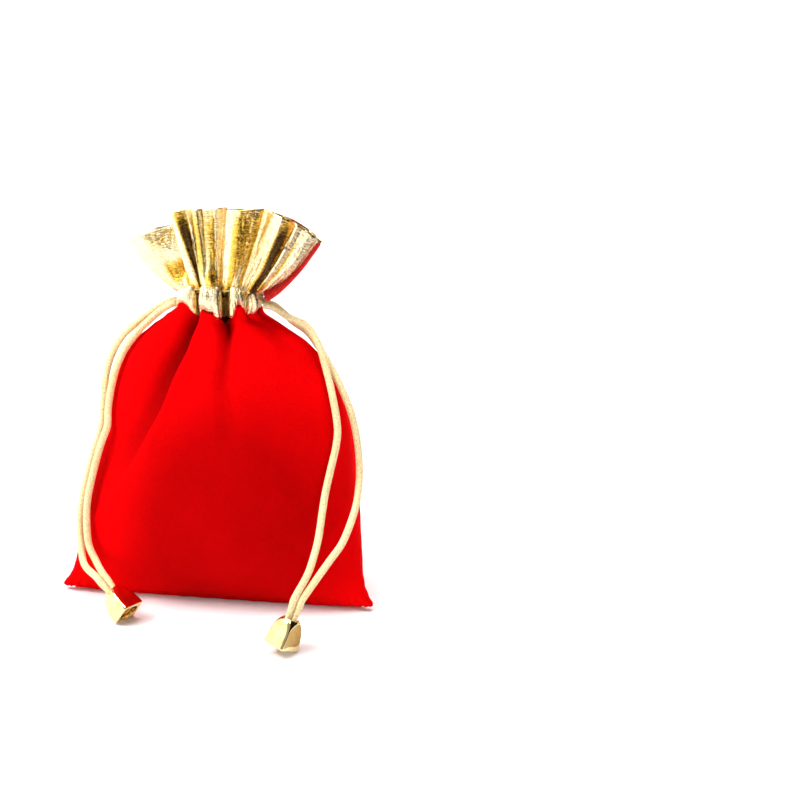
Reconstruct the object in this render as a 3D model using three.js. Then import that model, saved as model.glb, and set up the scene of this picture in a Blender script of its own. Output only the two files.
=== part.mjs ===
// Drawstring gift pouch: red velvet body, gold lame header, cream cords with plated end caps.
// Millimetres, +Z up, the pouch faces -Y and stands on the flattened underside of its back panel.
import * as THREE from "three";

const VELVET = 0.9; // pile and backing
const LAME = 0.6; // the band is folded double
const SEW_GAP = 0.15; // half the gap between two panels at their seam
const CORD_R = 1.1;
const THREAD_R = 0.3;
const NECK_A = 11.1; // inside half-width of the gathered channel
const NECK_B = 7.1; // inside half-depth of the gathered channel
const LOOP_A = 9.6; // centre line of the cords in the channel
const LOOP_B = 5.6;
const LOOP_LOW = 92.9;
const LOOP_HIGH = 95.5;
const EXIT_RIGHT = 93.6; // the upper cord dips before it leaves
const BAND_Z = 92.6; // velvet meets lame
const BAND_SIDE_Z = 90.4; // lower at the sides, where the cords come out
const CHANNEL_TOP = 97.6;
const STITCH_SLOT = 1.0; // the stitched line lies between channel and header
const BEAD_LENGTH = 9;
const BEAD_WIDTH = 8;
const BORE_R = 2.45;
const SOCKET_R = 2.95;
const SOCKET_DEPTH = 5.7;
const KNOT_R = 2.7;
const PAIR = 1.12; // half the spacing of the two strands in a cap

const RED = { color: 0xc80a0a, roughness: 0.85, metalness: 0 };
const DARK_RED = { color: 0x8f0b0b, roughness: 0.8, metalness: 0 };
const GOLD_CLOTH = { color: 0xdcb24a, roughness: 0.35, metalness: 0.9 };
const GOLD = { color: 0xe6bd45, roughness: 0.14, metalness: 1 };
const CREAM = { color: 0xead9a4, roughness: 0.6, metalness: 0 };

const group = new THREE.Group();
group.name = "drawstring_gift_pouch";
group.position.set(1, -0.7, 0); // the origin is under the middle of the pouch's outline

function add(name, geometry, look) {
  const mesh = new THREE.Mesh(geometry, new THREE.MeshStandardMaterial(look));
  mesh.name = name;
  group.add(mesh);
}

function curve(points) {
  const list = points.map((p) => new THREE.Vector3(...p));
  return new THREE.CatmullRomCurve3(list, false, "catmullrom", 0.5);
}

const bell = (x) => Math.exp(-x * x);
const degrees = (rad) => (rad * 180) / Math.PI;

// ---- body of the pouch -------------------------------------------------------------------

// Side seams from the ears of the bottom seam to the neck, and the two mid lines beside them.
const LEFT_SEAM = curve([
  [-50.2, -12.4, 1.5], [-47, -11.8, 6], [-45.4, -9.4, 12], [-45, -6, 19], [-44.2, -3, 27],
  [-42, -1, 36], [-39.2, 0, 46], [-36.6, 0, 56.5], [-34, 0, 66], [-31.2, 0, 74],
  [-25.5, 0, 80.5], [-17, 0, 85.8], [-12.2, 0, 88.6], [-NECK_A, 0, BAND_SIDE_Z],
]);
const RIGHT_SEAM = curve([
  [48.2, -12.8, 1.7], [45.8, -12, 6], [44, -9.6, 12], [43, -6, 19], [42, -3, 27],
  [41, -1, 36], [40, 0, 46], [38.8, 0, 56.5], [36, 0, 66.5], [31.6, 0, 75],
  [26, 0, 81.5], [17.8, 0, 86.2], [12.4, 0, 88.6], [NECK_A, 0, BAND_SIDE_Z],
]);
const FRONT_MID = curve([
  [0, -14.2, 2.6], [0, -17, 7.5], [0, -19.5, 13.5], [0, -21.8, 20.5], [0, -23.4, 28.5],
  [0, -24.2, 37], [0, -24, 46.5], [0, -22.8, 55.5], [0, -20.6, 64], [0, -17.6, 72],
  [0, -14.2, 79.5], [0, -10, 85.8], [0, -7.9, 89.5], [0, -NECK_B, BAND_Z],
]);
const BACK_MID = curve([
  [0, -14, 2.5], [0, -10, -2.2], [0, -1, -4.2], [0, 8.6, -4.2], [0, 16.6, -1.4],
  [0, 22.2, 7], [0, 24.8, 18.4], [0, 25.6, 33], [0, 24.8, 47], [0, 22, 60.5],
  [0, 17, 73], [0, 10.8, 84], [0, 7.9, 89.2], [0, NECK_B, BAND_Z],
]);

// Gathers: where round the neck, how far they wander, width, depth and how far down they reach.
const FRONT_FOLDS = [
  { at: -23, drift: -0.2, wide: 9, depth: 3.6, reach: 30 },
  { at: 15, drift: 0, wide: 8, depth: 4.2, reach: 17 },
  { at: 62, drift: 0.1, wide: 8, depth: 2.2, reach: 18 },
];
const BACK_FOLDS = [
  { at: -52, drift: -0.1, wide: 8, depth: 2.4, reach: 16 },
  { at: -20, drift: -0.15, wide: 9, depth: 3.8, reach: 26 },
  { at: 9, drift: 0.1, wide: 8, depth: 3.4, reach: 16 },
  { at: 40, drift: 0.25, wide: 9, depth: 3.6, reach: 30 },
];

function gather(folds, phi, h) {
  const narrow = 0.55 + 0.45 * Math.exp(-h / 12);
  return folds.reduce((sum, f) => {
    const off = (degrees(phi) - f.at - f.drift * h) / (f.wide * narrow);
    return sum + f.depth * bell(off) * bell(h / f.reach);
  }, 0);
}

// Point of a panel's inner face: phi -90..90 degrees from left seam to right seam, s 0..1 upwards.
function bodyPoint(mid, folds, phi, s) {
  const left = LEFT_SEAM.getPoint(s);
  const right = RIGHT_SEAM.getPoint(s);
  const centre = mid.getPoint(s);
  const side = left.clone().lerp(right, 0.5 + 0.5 * Math.sin(phi));
  const fullness = 0.62 + 0.38 * Math.min(1, s * 1.3);
  const belly = Math.cos(phi) ** fullness;
  const h = (1 - s) * 100;
  const rise = 0.15 + 0.85 * (1 - Math.exp(-h / 5));
  const pull = gather(folds, phi, h) * rise;
  const half = (right.x - left.x) / 2;
  const depth = centre.y - side.y;
  const inward = new THREE.Vector3(Math.sin(phi) / half, Math.cos(phi) / depth, 0).normalize();
  const p = new THREE.Vector3(side.x, side.y + depth * belly, side.z + (centre.z - side.z) * belly);
  p.addScaledVector(inward, -pull);
  p.z -= 0.5 * gather(folds, phi, 0) * bell(h / 9) - 0.9 * bell(h / 6) * Math.cos(phi);
  return p;
}

// A cloth sheet: the inner face is a grid of points, the outer face lies one thickness along its
// normals, and a rim closes the four edges.
function sheet(point, us, vs, thickness, outward) {
  const inner = us.map((u) => vs.map((v) => point(u, v)));
  const clampI = (i) => Math.min(us.length - 1, Math.max(0, i));
  const clampJ = (j) => Math.min(vs.length - 1, Math.max(0, j));
  const outer = inner.map((column, i) =>
    column.map((p, j) => {
      const du = inner[clampI(i + 1)][j].clone().sub(inner[clampI(i - 1)][j]);
      const dv = inner[i][clampJ(j + 1)].clone().sub(inner[i][clampJ(j - 1)]);
      return p.clone().addScaledVector(du.cross(dv).normalize(), thickness * outward);
    }),
  );
  const rows = vs.length;
  const count = us.length * rows;
  const vertices = [...inner.flat(), ...outer.flat()].flatMap((p) => p.toArray());
  const at = (i, j, far) => i * rows + j + (far ? count : 0);
  const faces = [];
  const quad = (a, b, c, d) => {
    if (outward > 0) faces.push(a, b, c, a, c, d);
    else faces.push(a, c, b, a, d, c);
  };
  for (let i = 0; i < us.length - 1; i++) {
    for (let j = 0; j < rows - 1; j++) {
      quad(at(i, j, true), at(i + 1, j, true), at(i + 1, j + 1, true), at(i, j + 1, true));
      quad(at(i, j), at(i, j + 1), at(i + 1, j + 1), at(i + 1, j));
    }
    quad(at(i, 0), at(i + 1, 0), at(i + 1, 0, true), at(i, 0, true));
    quad(at(i + 1, rows - 1), at(i, rows - 1), at(i, rows - 1, true), at(i + 1, rows - 1, true));
  }
  const last = us.length - 1;
  for (let j = 0; j < rows - 1; j++) {
    quad(at(0, j + 1), at(0, j), at(0, j, true), at(0, j + 1, true));
    quad(at(last, j), at(last, j + 1), at(last, j + 1, true), at(last, j, true));
  }
  const geometry = new THREE.BufferGeometry();
  geometry.setAttribute("position", new THREE.Float32BufferAttribute(vertices, 3));
  geometry.setIndex(faces);
  geometry.computeVertexNormals();
  return geometry;
}

const spread = (from, to, steps) =>
  Array.from({ length: steps + 1 }, (_, i) => from + ((to - from) * i) / steps);
const arc = (limit, steps) => spread(-limit, limit, steps).map((d) => (d * Math.PI) / 180);

// Levels crowd towards the neck, where the gathers are.
const PANEL_LEVELS = spread(0, 1, 18).map((v) => v ** 0.88);

function frontPanel() {
  const point = (phi, s) =>
    bodyPoint(FRONT_MID, FRONT_FOLDS, phi, s).add(new THREE.Vector3(0, -SEW_GAP, SEW_GAP));
  return sheet(point, arc(90, 30), PANEL_LEVELS, VELVET, 1);
}

// The weight inside presses the lower back panel flat on the table.
function backPanel() {
  const point = (phi, s) => {
    const p = bodyPoint(BACK_MID, BACK_FOLDS, phi, s).add(new THREE.Vector3(0, SEW_GAP, -SEW_GAP));
    const z = p.z - VELVET;
    const soft = 1.2;
    if (z < soft) p.z = VELVET + (z < -soft ? 0 : (z + soft) ** 2 / (4 * soft));
    return p;
  };
  return sheet(point, arc(90, 30), PANEL_LEVELS, VELVET, -1);
}

// ---- gathered channel --------------------------------------------------------------------

// Knuckles: the channel puffs out between the gathers.
const puff = (folds, phi) => 1.7 - Math.min(1.7, 0.75 * gather(folds, phi, 0));

function ring(phi, front, a, b, grow, z) {
  const y = front ? -b * Math.cos(phi) : b * Math.cos(phi);
  const normal = new THREE.Vector3(Math.sin(phi) / a, y / (b * b), 0).normalize();
  return new THREE.Vector3(a * Math.sin(phi), y, z).addScaledVector(normal, grow);
}

// Height of the seam between velvet and lame: it dips into each gather.
const bandEdge = (folds, phi) =>
  BAND_SIDE_Z + (BAND_Z - BAND_SIDE_Z + 0.9) * Math.cos(phi) - 0.5 * gather(folds, phi, 0);
// The stitched line above the channel drops towards the cord exits.
const channelTop = (phi) => CHANNEL_TOP - 2.6 * Math.sin(phi) ** 6;

function channelWall(front) {
  const folds = front ? FRONT_FOLDS : BACK_FOLDS;
  const point = (phi, t) => {
    const low = bandEdge(folds, phi) + 0.8;
    const z = low + (channelTop(phi) - low) * t;
    const swell = puff(folds, phi) * (0.35 + 0.65 * Math.sin(Math.PI * t));
    return ring(phi, front, NECK_A, NECK_B, swell, z);
  };
  return sheet(point, arc(64, 24), spread(0, 1, 4), LAME, front ? 1 : -1);
}

// Inner wall of the channel: it turns outwards under and over the cords.
function channelLining(front) {
  const profile = curve([
    [1.7, 0, 90.5], [0.6, 0, 91.1], [0, 0, 91.8], [0, 0, 94.2], [0, 0, 96.7], [0.5, 0, 97.3], [1.2, 0, 97.7],
  ]);
  const a = LOOP_A - CORD_R - 0.95;
  const b = LOOP_B - CORD_R - 0.95;
  const point = (phi, t) => {
    const p = profile.getPoint(t);
    const q = ring(phi, front, a, b, p.x, p.z);
    q.y += front ? -SEW_GAP : SEW_GAP;
    return q;
  };
  return sheet(point, arc(90, 16), spread(0, 1, 5), LAME, front ? 1 : -1);
}

// ---- header ------------------------------------------------------------------------------

// Top edge of the header, left wing tip to right wing tip.
const FRONT_EDGE = curve([
  [-27.8, 0, 111.5], [-24.5, -1.7, 113.6], [-19, -1.5, 115.2], [-13.5, -1.1, 116.8],
  [-8.6, -1.3, 118.4], [-8.9, -3.2, 120.2], [-12.4, -5.2, 121.6], [-9.6, -7.8, 123.3],
  [-5, -6.2, 124], [-1.5, -7.9, 124], [2.5, -5.7, 124.1], [6.2, -8.2, 124.3],
  [10.2, -5.9, 124.6], [14.2, -7, 124.5], [17.8, -5, 123.5], [21.8, -7, 122.2],
  [24, -3.4, 120.2], [26.8, -2.6, 117.8], [29.6, -1.6, 115.9], [31.3, 0, 113.8],
]);
const BACK_EDGE = curve([
  [-27.8, 0, 111.5], [-23.6, 2.4, 113.4], [-19, 1.2, 115.6], [-14.6, 3.8, 117.8],
  [-10.4, 2.2, 119.6], [-6, 5.2, 121.2], [-1.6, 3, 122], [3, 5.8, 122.4], [8, 3, 122.6],
  [13, 5.6, 122.2], [18, 2.8, 121], [23, 4.4, 118.8], [27.6, 1.8, 116.2], [31.3, 0, 113.8],
]);

function header(front) {
  const edge = front ? FRONT_EDGE : BACK_EDGE;
  const folds = front ? FRONT_FOLDS : BACK_FOLDS;
  const nudge = new THREE.Vector3(0, front ? -SEW_GAP : SEW_GAP, 0);
  const point = (phi, t) => {
    const top = edge.getPoint(phi / Math.PI + 0.5);
    const foot = ring(phi, front, NECK_A, NECK_B - 0.3, 0.3 * puff(folds, phi), channelTop(phi) + STITCH_SLOT);
    const spill = t ** 0.85;
    const p = foot.clone().lerp(top, spill);
    p.z = foot.z + (top.z - foot.z) * t - 2.2 * Math.sin(phi) ** 8 * Math.sin(Math.PI * t);
    return p.add(nudge);
  };
  return sheet(point, arc(90, front ? 38 : 30), spread(0, 1, 7), LAME, front ? 1 : -1);
}

// ---- cords, knots and threads ------------------------------------------------------------

function tube(points, radius, steps, sides) {
  const section = new THREE.Shape();
  spread(0, 1, sides).slice(0, sides).forEach((k, i) => {
    const x = radius * Math.cos(2 * Math.PI * k);
    const y = radius * Math.sin(2 * Math.PI * k);
    if (i === 0) section.moveTo(x, y);
    else section.lineTo(x, y);
  });
  return new THREE.ExtrudeGeometry(section, { extrudePath: curve(points), steps, curveSegments: 1 });
}

// A cord runs round the neck in the channel and leaves on one side: -1 left, 1 right.
function drawstring(side) {
  const z = side < 0 ? LOOP_LOW : LOOP_HIGH;
  const exit = side < 0 ? LOOP_LOW : EXIT_RIGHT;
  const round = spread(-158, 158, 16).map((d) => {
    const a = (d * Math.PI) / 180;
    return [-side * LOOP_A * Math.cos(a), LOOP_B * Math.sin(a), z];
  });
  const points = [[side * 13, -1.35, exit], [side * 11.4, -1.4, (z + exit) / 2], ...round];
  points.push([side * 11.4, 1.4, (z + exit) / 2], [side * 13, 1.35, exit]);
  return tube(points, CORD_R, 32, 8);
}

// The two ends of each cord hang over the shoulders and run side by side through an end cap.
// top: cord hole; down: along the cap; edge: along one side of its base; apart: from strand to strand.
const LEFT_CAP = {
  top: [-29.7, -29, 8.4], down: [0.706, -0.411, -0.577], edge: [0.39, 0.92, 0.02], apart: [0.68, 0.6, 0.42],
};
const RIGHT_CAP = {
  top: [29.2, -42.3, 10.1], down: [-0.311, -0.305, -0.9], edge: [0.88, -0.47, 0], apart: [0.92, 0.14, -0.36],
};

// Direction near the wanted one that is square to the cap's axis.
function squareTo(cap, wanted) {
  const down = new THREE.Vector3(...cap.down).normalize();
  const v = new THREE.Vector3(...wanted);
  return v.addScaledVector(down, -v.dot(down)).normalize();
}

function capPoint(cap, along, across) {
  const down = new THREE.Vector3(...cap.down).normalize();
  const p = new THREE.Vector3(...cap.top).addScaledVector(down, along);
  return p.addScaledVector(squareTo(cap, cap.apart), across);
}

const STRANDS = {
  left_tail_back: { cap: LEFT_CAP, across: -PAIR, route: [
    [-13.5, 1.35, 92.9], [-16, 1.2, 92.5], [-20, 0.7, 90.4], [-25.6, -0.5, 86.4], [-30.3, -3.3, 82.2],
    [-33.1, -5.8, 77.1], [-34.5, -7.6, 72], [-35, -9.2, 67.3], [-35.1, -10.8, 62.4], [-35.5, -12.2, 56.4],
    [-37.2, -13, 50.6], [-39.8, -13.3, 42.6], [-42.2, -14.2, 33], [-43.2, -15.4, 25.6], [-42.7, -17.4, 18],
    [-40.6, -21.4, 13],
  ] },
  left_tail_front: { cap: LEFT_CAP, across: PAIR, route: [
    [-13.5, -1.35, 92.9], [-16, -1.6, 92], [-19.6, -2.2, 89.4], [-24.8, -3.4, 84.4], [-28.7, -6.1, 79.2],
    [-31, -8.8, 73.8], [-32.3, -10.4, 68.4], [-32.8, -11.8, 64.6], [-33, -13.2, 60.8], [-33, -14.8, 56.6],
    [-35.1, -15, 51.2], [-37.6, -15, 43.4], [-40, -15.8, 33.6], [-40.5, -17.2, 26.2], [-39.7, -18.9, 18.8],
    [-36.8, -21.2, 14.2],
  ] },
  right_tail_front: { cap: RIGHT_CAP, across: -PAIR, route: [
    [13.5, -1.35, 93.5], [15.6, -1, 93.1], [17.9, -0.4, 91.8], [21.4, -0.4, 89.6], [26.7, -1, 87.4],
    [30.7, -2.9, 82.2], [33, -5, 76.6], [35.8, -8.7, 68.6], [37.7, -11.2, 60], [37.7, -13.2, 54.4],
    [36.3, -16.2, 46.8], [35.2, -19, 40.3], [34.9, -23, 34.8], [34.7, -27.6, 29.6], [34.1, -32.4, 25.4],
    [33, -36.6, 21.6],
  ] },
  right_tail_back: { cap: RIGHT_CAP, across: PAIR, route: [
    [13.5, 1.35, 93.5], [16, 2.4, 92.4], [18.4, 3.2, 90.2], [21.8, 3, 87.3], [26.6, 2, 84.3],
    [30.6, 0.6, 79.4], [34, -2.2, 75.4], [37.9, -5.2, 69.7], [41.4, -7, 61.9], [43.5, -8.8, 52.9],
    [44.4, -11.4, 44.4], [44.3, -15.4, 37.6], [43.4, -20.8, 32.8], [41.6, -26.2, 28], [38.8, -31, 24.4],
    [36, -35.6, 20.8],
  ] },
};

function strand({ cap, across, route }) {
  const end = [-6.5, -4, -1, 1.5, BEAD_LENGTH - SOCKET_DEPTH - 0.2];
  const points = [...route, ...end.map((along) => capPoint(cap, along, across).toArray())];
  return tube(points, CORD_R, 36, 8);
}

// Geometry built round +Z is turned so that +Z runs down the cap's axis from its cord hole.
function placeOnCap(geometry, cap) {
  const x = squareTo(cap, cap.edge);
  const z = new THREE.Vector3(...cap.down).normalize();
  const turn = new THREE.Matrix4().makeBasis(x, z.clone().cross(x), z);
  return geometry.applyMatrix4(turn).translate(...cap.top);
}

// A closed surface through rings of equal count; the last ring joins the first.
function ringSurface(rings) {
  const n = rings[0].length;
  const vertices = rings.flat(2);
  const faces = [];
  rings.forEach((_, i) => {
    const next = (i + 1) % rings.length;
    for (let k = 0; k < n; k++) {
      const l = (k + 1) % n;
      faces.push(i * n + k, i * n + l, next * n + l, i * n + k, next * n + l, next * n + k);
    }
  });
  const geometry = new THREE.BufferGeometry();
  geometry.setAttribute("position", new THREE.Float32BufferAttribute(vertices, 3));
  geometry.setIndex(faces);
  geometry.computeVertexNormals();
  return geometry;
}

// Plated end cap: a square bell with a domed top, a cord hole and a round socket for the knot.
// Each level is [z, half width, squareness]; a squareness of 2 is a circle.
function bead(cap) {
  const floor = BEAD_LENGTH - SOCKET_DEPTH;
  const half = BEAD_WIDTH / 2;
  const levels = [
    [0.25, BORE_R, 2], [0, BORE_R + 0.2, 2], [0.2, 2.85, 2.2], [0.9, 3.2, 2.6], [2.1, 3.45, 3.6],
    [4, half - 0.32, 6], [6.4, half - 0.12, 8], [BEAD_LENGTH - 0.35, half, 9], [BEAD_LENGTH, half - 0.25, 9],
    [BEAD_LENGTH, SOCKET_R + 0.2, 2], [BEAD_LENGTH - 0.3, SOCKET_R, 2], [floor, SOCKET_R, 2],
    [floor, BORE_R, 2],
  ];
  const rings = levels.map(([z, h, n]) =>
    spread(0, 2 * Math.PI, 24).slice(0, 24).map((a) => {
      const r = h / (Math.abs(Math.cos(a)) ** n + Math.abs(Math.sin(a)) ** n) ** (1 / n);
      return [r * Math.cos(a), r * Math.sin(a), z];
    }),
  );
  return placeOnCap(ringSurface(rings), cap);
}

// Stopper knot: a ball with three wraps of cord pressed into it.
function knot(cap) {
  const geometry = new THREE.SphereGeometry(1, 18, 12);
  const at = geometry.getAttribute("position");
  for (let i = 0; i < at.count; i++) {
    const p = new THREE.Vector3().fromBufferAttribute(at, i);
    const wrap = KNOT_R - 0.25 * Math.sin(3 * Math.atan2(p.z, p.x) + 3 * p.y) ** 2 * (1 - p.y * p.y);
    p.multiplyScalar(wrap);
    at.setXYZ(i, p.x, p.y, p.z);
  }
  geometry.rotateX(Math.PI / 2).translate(0, 0, BEAD_LENGTH - SOCKET_DEPTH + KNOT_R + 0.25);
  return placeOnCap(geometry, cap);
}

// Sewing inside the pouch, midway between the two panels close to their shared edge.
function bodyStitch(places, steps) {
  const points = places.map(([deg, s]) => {
    const phi = (deg * Math.PI) / 180;
    const a = bodyPoint(FRONT_MID, FRONT_FOLDS, phi, s);
    const b = bodyPoint(BACK_MID, BACK_FOLDS, phi, s);
    b.z = Math.max(b.z, VELVET);
    return a.lerp(b, 0.5).toArray();
  });
  return tube(points, THREAD_R, steps, 6);
}

function channelStitch(front) {
  const folds = front ? FRONT_FOLDS : BACK_FOLDS;
  const points = spread(-62, 62, 20).map((deg) => {
    const phi = (deg * Math.PI) / 180;
    const grow = 0.65 + 0.35 * puff(folds, phi);
    return ring(phi, front, NECK_A, NECK_B, grow, channelTop(phi) + STITCH_SLOT / 2).toArray();
  });
  return tube(points, 0.2, 24, 6);
}

// Red overlock over the side seam of the header, along the lower edge of each wing.
function wingOverlock(side) {
  const foot = new THREE.Vector3(side * NECK_A, 0, channelTop(Math.PI / 2) + STITCH_SLOT);
  const tip = side < 0 ? FRONT_EDGE.getPoint(0) : FRONT_EDGE.getPoint(1);
  const points = spread(0.08, 0.96, 8).map((t) => {
    const p = foot.clone().lerp(tip, t ** 0.85);
    p.z = foot.z + (tip.z - foot.z) * t - 2.2 * Math.sin(Math.PI * t);
    return [p.x + side * 0.55, 0, p.z - 0.6];
  });
  return tube(points, THREAD_R, 16, 6);
}

add("front_panel", frontPanel(), RED);
add("back_panel", backPanel(), RED);
add("front_channel", channelWall(true), GOLD_CLOTH);
add("back_channel", channelWall(false), GOLD_CLOTH);
add("front_channel_lining", channelLining(true), GOLD_CLOTH);
add("back_channel_lining", channelLining(false), GOLD_CLOTH);
add("front_header", header(true), GOLD_CLOTH);
add("back_header", header(false), GOLD_CLOTH);
add("left_drawstring", drawstring(-1), CREAM);
add("right_drawstring", drawstring(1), CREAM);
add("left_side_stitching", bodyStitch(spread(0.14, 0.82, 12).map((s) => [-77, s]), 20), DARK_RED);
add("right_side_stitching", bodyStitch(spread(0.14, 0.82, 12).map((s) => [77, s]), 20), DARK_RED);
add("bottom_stitching", bodyStitch(spread(-74, 74, 14).map((d) => [d, 0.035]), 20), DARK_RED);
add("front_channel_stitching", channelStitch(true), CREAM);
add("back_channel_stitching", channelStitch(false), CREAM);
add("left_wing_overlock", wingOverlock(-1), DARK_RED);
add("right_wing_overlock", wingOverlock(1), DARK_RED);
for (const [name, spec] of Object.entries(STRANDS)) add(name, strand(spec), CREAM);
add("left_knot", knot(LEFT_CAP), CREAM);
add("right_knot", knot(RIGHT_CAP), CREAM);
add("left_bead", bead(LEFT_CAP), GOLD);
add("right_bead", bead(RIGHT_CAP), GOLD);

export default group;
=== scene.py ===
import math
from collections import namedtuple

import bpy
import numpy as np
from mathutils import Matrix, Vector, noise


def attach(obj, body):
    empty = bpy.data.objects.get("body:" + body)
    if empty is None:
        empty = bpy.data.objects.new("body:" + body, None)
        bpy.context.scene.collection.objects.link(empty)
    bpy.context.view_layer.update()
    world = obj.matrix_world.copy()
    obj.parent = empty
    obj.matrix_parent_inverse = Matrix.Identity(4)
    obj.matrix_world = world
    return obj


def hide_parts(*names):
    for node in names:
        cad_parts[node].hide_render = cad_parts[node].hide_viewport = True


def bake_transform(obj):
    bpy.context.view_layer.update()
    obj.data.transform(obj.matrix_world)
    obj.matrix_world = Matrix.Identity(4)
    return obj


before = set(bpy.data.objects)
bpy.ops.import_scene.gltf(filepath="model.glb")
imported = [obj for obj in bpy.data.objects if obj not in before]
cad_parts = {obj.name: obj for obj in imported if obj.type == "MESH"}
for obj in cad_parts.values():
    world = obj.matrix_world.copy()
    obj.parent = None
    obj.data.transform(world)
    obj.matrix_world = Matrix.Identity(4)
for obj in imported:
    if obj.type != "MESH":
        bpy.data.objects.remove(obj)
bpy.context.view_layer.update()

SHIFT = np.array([1.0, -0.7, 0.0])  # the CAD group's own offset
VELVET = 0.9  # thickness of the velvet with its pile
LAME = 0.6
RIM = 0.42  # how far a cloth's rounded rim stands out, as a share of its thickness
SEW_GAP = 0.15  # half the gap between the front and back cloths along the seams
CORD_R = 1.1
NECK_A, NECK_B = 11.1, 7.1  # half width and half depth of the pulled-in neck
LOOP_A, LOOP_B = 9.6, 5.6  # the same for the cords inside the channel
LOOP_LOW, LOOP_HIGH, EXIT_RIGHT = 92.9, 95.5, 93.6  # heights of the left and right loops and the right exit
NECK_EXIT, BEND_END = 13.2, 18.5  # how far from the middle the tails leave the neck, and a second distance further out
BAND_Z, BAND_SIDE_Z = 92.6, 90.4  # lower edge of the channel in the middle and at the sides
CHANNEL_TOP, CHANNEL_LAP = 97.6, 1.3
PINCH = 0.55  # how much narrower the gathers are where the drawstring pulls the channel in
BEAD_LENGTH = 9.0
BORE_R, SOCKET_R, SOCKET_DEPTH = 2.45, 2.95, 5.7
BASE_ROUND = 0.6  # radius of the edge round a cap's open base
PAIR = 1.12  # half the distance between the two cords in a cap
CORD_SQUEEZE = 0.18  # share by which the cord hole draws the cords together


def to_frame(points):
    """Millimetres of the CAD source to metres of the row frame."""
    return (np.asarray(points, float) + SHIFT) / 1000


def unit(v):
    v = np.asarray(v, float)
    return v / np.maximum(np.linalg.norm(v, axis=-1, keepdims=True), 1e-12)


def curve(points, t):
    """Uniform Catmull-Rom through the points, at t from 0 to 1."""
    p = np.array(points, float)
    p = np.vstack([2 * p[0] - p[1], p, 2 * p[-1] - p[-2]])
    at = np.clip(np.asarray(t, float), 0, 1) * (len(p) - 3)
    i = np.minimum(at.astype(int), len(p) - 4)
    w = (at - i)[..., None]
    a, b, c, d = p[i], p[i + 1], p[i + 2], p[i + 3]
    return b + 0.5 * w * (c - a + w * (2 * a - 5 * b + 4 * c - d + w * (3 * (b - c) + d - a)))


def bell(x):
    """1 at 0, falling smoothly to 0.37 at -1 and 1."""
    return np.exp(-np.square(x))


def smooth(x, low, high):
    """0 up to low, 1 from high, and a soft slope between."""
    x = np.clip((x - low) / (high - low), 0, 1)
    return x * x * (3 - 2 * x)


def steps(marks, x, crisp=0.0):
    """Value at x of a wave through (place, value) marks: soft at each one, or straight-sided if crisp."""
    at, value = np.array(marks, float).T
    i = np.clip(np.searchsorted(at, x) - 1, 0, len(at) - 2)
    w = np.clip((x - at[i]) / (at[i + 1] - at[i]), 0, 1)
    w = crisp * w + (1 - crisp) * (0.5 - 0.5 * np.cos(math.pi * w))
    return value[i] * (1 - w) + value[i + 1] * w


def rough(points, scale, seed, octaves=3):
    """Smooth seeded noise, about -1 to 1, at points in millimetres, with features about scale wide."""
    flat = np.asarray(points, float).reshape(-1, 3) / scale + seed * 17.3
    values = [noise.fractal(Vector(p), 1.0, 2.1, octaves) for p in flat]
    return np.array(values).reshape(np.asarray(points).shape[:-1])


# ---- camera ------------------------------------------------------------------------------


def make_camera():
    """At the photograph's viewing angle: 9 degrees to the right of the front and 20 above."""
    data = bpy.data.cameras.new("camera")
    data.lens, data.sensor_width = 85, 36
    data.clip_start, data.clip_end = 0.01, 50
    cam = bpy.data.objects.new("camera", data)
    bpy.context.scene.collection.objects.link(cam)
    azimuth, elevation = math.radians(9), math.radians(20)
    back = Vector((
        math.sin(azimuth) * math.cos(elevation),
        -math.cos(azimuth) * math.cos(elevation),
        math.sin(elevation),
    ))
    cam.location = (0.14028, -0.53285, 0.26107)
    cam.rotation_mode = "QUATERNION"
    cam.rotation_quaternion = (-back).to_track_quat("-Z", "Y")
    bpy.context.scene.camera = cam


make_camera()


# ---- node materials ----------------------------------------------------------------------


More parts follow.
